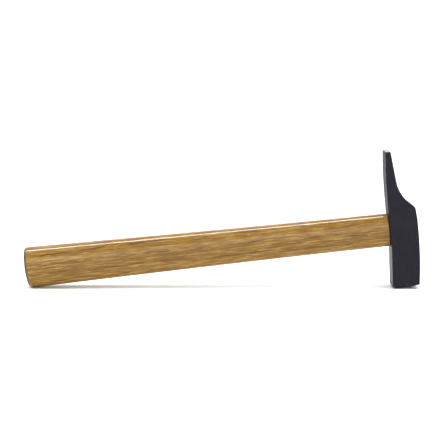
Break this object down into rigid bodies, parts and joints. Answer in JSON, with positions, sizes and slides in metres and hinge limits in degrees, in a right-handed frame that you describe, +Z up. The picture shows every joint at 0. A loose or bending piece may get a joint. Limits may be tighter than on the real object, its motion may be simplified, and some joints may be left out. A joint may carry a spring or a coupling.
{
  "type": "tack hammer",
  "caption": "Small hammer with a square crowned striking face and a flat cross pein, on an oval wooden handle wedged into the head's eye.",
  "frame": {"origin": "on the surface that the hammer stands on, under the middle of its bounding box; the hammer rests on its striking face and on the lower edge of its butt", "axes": "+X from the butt toward the head along the surface; +Y across the cheeks; +Z up, from the striking face toward the pein. The handle rises 6.0 degrees toward the head."},
  "size_m": [0.2582, 0.0182, 0.0895],
  "materials": {
    "head_steel": "forged steel with a thin black lacquer, semi-gloss; striking face and pein edge ground bright",
    "handle_wood": "open-pored ash with a clear gloss varnish",
    "wedge_wood": "sawn beech, cut flush",
    "wedge_steel": "bare mild steel, barbed edges"
  },
  "bodies": {
    "root": {"head": "head_steel", "handle": "handle_wood", "wooden_wedge": "wedge_wood", "steel_wedge": "wedge_steel"}
  },
  "joints": []
}
